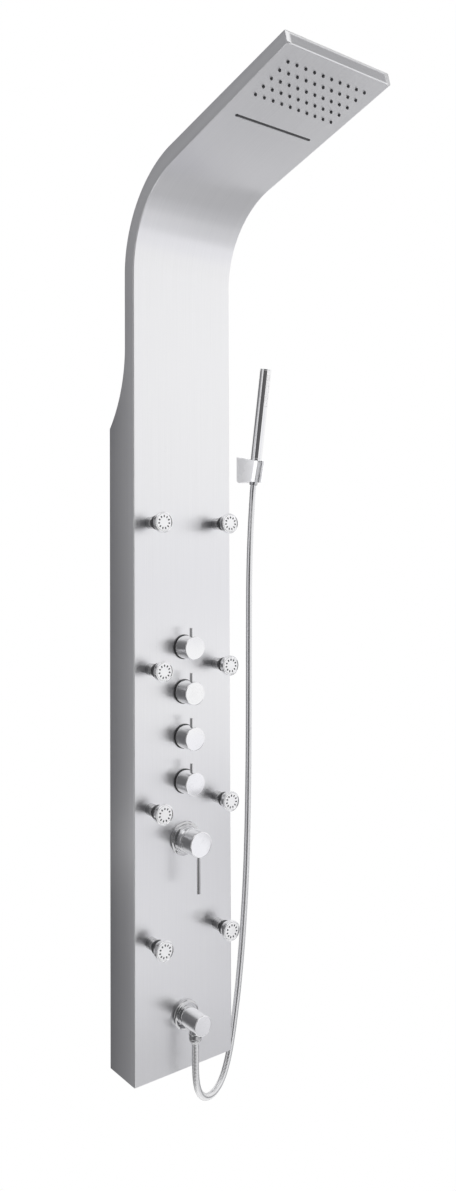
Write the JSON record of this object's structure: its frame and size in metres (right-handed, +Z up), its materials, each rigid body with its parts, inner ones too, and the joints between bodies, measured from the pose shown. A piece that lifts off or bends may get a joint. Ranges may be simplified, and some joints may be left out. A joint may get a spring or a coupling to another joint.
{
  "type": "shower panel column",
  "caption": "Brushed steel shower panel column with a bent rain and waterfall arm, body jets, valve knobs, a lever mixer and a stick handset on a hose in its own wall holder.",
  "frame": {"origin": "on the wall, midway between the upper bracket's two screw holes", "axes": "+X to the right as the user sees the panel, +Y into the wall, +Z up"},
  "size_m": [0.3075, 0.4712, 1.6427],
  "materials": {
    "steel_sheet": "long-grain brushed stainless steel",
    "zinc_steel": "zinc-plated steel",
    "white_plastic": "moulded plastic",
    "nozzle_rubber": "soft silicone",
    "water_hose": "flexible plastic pipe",
    "raw_brass": "cast and turned, unplated",
    "black_plastic": "satin",
    "chrome_trim": "polished chrome plating",
    "metal_hose": "interlocked metal ribs",
    "grey_holder": "satin silver-grey"
  },
  "bodies": {
    "panel": {"column_shell": "steel_sheet", "arm_cover": "steel_sheet", "cross_bars": "zinc_steel", "wall_brackets": "zinc_steel", "rain_chamber": "white_plastic", "rain_nozzle_mat": "nozzle_rubber", "waterfall_box": "white_plastic", "head_feed_hoses": "water_hose", "jet_tubes": "chrome_trim", "lock_nuts": "raw_brass", "jet_feed_pipes": "raw_brass", "valve_manifold": "raw_brass", "valve_cartridges": "raw_brass", "knob_rings": "black_plastic", "mixer_body": "raw_brass", "mixer_cartridge": "white_plastic", "mixer_bonnet": "chrome_trim", "mixer_escutcheon": "chrome_trim", "inlet_nipples": "raw_brass", "elbow_flange": "chrome_trim", "elbow_body": "chrome_trim", "elbow_feed_hose": "water_hose", "handset_holder": "grey_holder", "hose_nut_lower": "chrome_trim", "shower_hose": "metal_hose"},
    "seat_1": {"jet_seat_1": "white_plastic"},
    "head_1": {"jet_head_1": "chrome_trim"},
    "seat_2": {"jet_seat_2": "white_plastic"},
    "head_2": {"jet_head_2": "chrome_trim"},
    "seat_3": {"jet_seat_3": "white_plastic"},
    "head_3": {"jet_head_3": "chrome_trim"},
    "seat_4": {"jet_seat_4": "white_plastic"},
    "head_4": {"jet_head_4": "chrome_trim"},
    "seat_5": {"jet_seat_5": "white_plastic"},
    "head_5": {"jet_head_5": "chrome_trim"},
    "seat_6": {"jet_seat_6": "white_plastic"},
    "head_6": {"jet_head_6": "chrome_trim"},
    "seat_7": {"jet_seat_7": "white_plastic"},
    "head_7": {"jet_head_7": "chrome_trim"},
    "seat_8": {"jet_seat_8": "white_plastic"},
    "head_8": {"jet_head_8": "chrome_trim"},
    "valve_1": {"knob_1": "chrome_trim", "knob_pin_1": "chrome_trim", "knob_spindle_1": "raw_brass"},
    "valve_2": {"knob_2": "chrome_trim", "knob_pin_2": "chrome_trim", "knob_spindle_2": "raw_brass"},
    "valve_3": {"knob_3": "chrome_trim", "knob_pin_3": "chrome_trim", "knob_spindle_3": "raw_brass"},
    "valve_4": {"knob_4": "chrome_trim", "knob_pin_4": "chrome_trim", "knob_spindle_4": "raw_brass"},
    "mixer_turret": {"mixer_carrier": "black_plastic"},
    "mixer_grip": {"mixer_stem": "raw_brass", "mixer_handle": "chrome_trim", "mixer_lever": "chrome_trim"},
    "handset": {"handset_body": "chrome_trim", "handset_nozzle": "nozzle_rubber", "hose_nut_upper": "chrome_trim"}
  },
  "joints": [
    {"name": "jet_1_tilt", "type": "hinge", "parent": "panel", "child": "seat_1", "pos_m": [-0.0684, -0.1055, -0.781], "axis": [1, 0, 0], "range_deg": [-15, 15]},
    {"name": "jet_1_pan", "type": "hinge", "parent": "seat_1", "child": "head_1", "pos_m": [-0.0684, -0.1055, -0.781], "axis": [0, 0, 1], "range_deg": [-15, 15]},
    {"name": "jet_2_tilt", "type": "hinge", "parent": "panel", "child": "seat_2", "pos_m": [0.0684, -0.1055, -0.781], "axis": [1, 0, 0], "range_deg": [-15, 15]},
    {"name": "jet_2_pan", "type": "hinge", "parent": "seat_2", "child": "head_2", "pos_m": [0.0684, -0.1055, -0.781], "axis": [0, 0, 1], "range_deg": [-15, 15]},
    {"name": "jet_3_tilt", "type": "hinge", "parent": "panel", "child": "seat_3", "pos_m": [-0.0684, -0.1055, -0.56], "axis": [1, 0, 0], "range_deg": [-15, 15]},
    {"name": "jet_3_pan", "type": "hinge", "parent": "seat_3", "child": "head_3", "pos_m": [-0.0684, -0.1055, -0.56], "axis": [0, 0, 1], "range_deg": [-15, 15]},
    {"name": "jet_4_tilt", "type": "hinge", "parent": "panel", "child": "seat_4", "pos_m": [0.0684, -0.1055, -0.56], "axis": [1, 0, 0], "range_deg": [-15, 15]},
    {"name": "jet_4_pan", "type": "hinge", "parent": "seat_4", "child": "head_4", "pos_m": [0.0684, -0.1055, -0.56], "axis": [0, 0, 1], "range_deg": [-15, 15]},
    {"name": "jet_5_tilt", "type": "hinge", "parent": "panel", "child": "seat_5", "pos_m": [-0.0684, -0.1055, -0.327], "axis": [1, 0, 0], "range_deg": [-15, 15]},
    {"name": "jet_5_pan", "type": "hinge", "parent": "seat_5", "child": "head_5", "pos_m": [-0.0684, -0.1055, -0.327], "axis": [0, 0, 1], "range_deg": [-15, 15]},
    {"name": "jet_6_tilt", "type": "hinge", "parent": "panel", "child": "seat_6", "pos_m": [0.0684, -0.1055, -0.327], "axis": [1, 0, 0], "range_deg": [-15, 15]},
    {"name": "jet_6_pan", "type": "hinge", "parent": "seat_6", "child": "head_6", "pos_m": [0.0684, -0.1055, -0.327], "axis": [0, 0, 1], "range_deg": [-15, 15]},
    {"name": "jet_7_tilt", "type": "hinge", "parent": "panel", "child": "seat_7", "pos_m": [-0.0684, -0.1055, -0.082], "axis": [1, 0, 0], "range_deg": [-15, 15]},
    {"name": "jet_7_pan", "type": "hinge", "parent": "seat_7", "child": "head_7", "pos_m": [-0.0684, -0.1055, -0.082], "axis": [0, 0, 1], "range_deg": [-15, 15]},
    {"name": "jet_8_tilt", "type": "hinge", "parent": "panel", "child": "seat_8", "pos_m": [0.0684, -0.1055, -0.082], "axis": [1, 0, 0], "range_deg": [-15, 15]},
    {"name": "jet_8_pan", "type": "hinge", "parent": "seat_8", "child": "head_8", "pos_m": [0.0684, -0.1055, -0.082], "axis": [0, 0, 1], "range_deg": [-15, 15]},
    {"name": "knob_1_turn", "type": "hinge", "parent": "panel", "child": "valve_1", "pos_m": [0, -0.095, -0.2938], "axis": [0, -1, 0], "range_deg": [0, 90]},
    {"name": "knob_2_turn", "type": "hinge", "parent": "panel", "child": "valve_2", "pos_m": [0, -0.095, -0.3702], "axis": [0, -1, 0], "range_deg": [0, 90]},
    {"name": "knob_3_turn", "type": "hinge", "parent": "panel", "child": "valve_3", "pos_m": [0, -0.095, -0.4466], "axis": [0, -1, 0], "range_deg": [0, 90]},
    {"name": "knob_4_turn", "type": "hinge", "parent": "panel", "child": "valve_4", "pos_m": [0, -0.095, -0.523], "axis": [0, -1, 0], "range_deg": [0, 90]},
    {"name": "mixer_turn", "type": "hinge", "parent": "panel", "child": "mixer_turret", "pos_m": [0, -0.088, -0.62], "axis": [0, 1, 0], "range_deg": [-45, 45]},
    {"name": "mixer_tilt", "type": "hinge", "parent": "mixer_turret", "child": "mixer_grip", "pos_m": [0, -0.088, -0.62], "axis": [-1, 0, 0], "range_deg": [0, 20]},
    {"name": "handset_lift", "type": "slide", "parent": "panel", "child": "handset", "axis": [0, -0.1771, 0.9842], "range_m": [0, 0.055]}
  ]
}
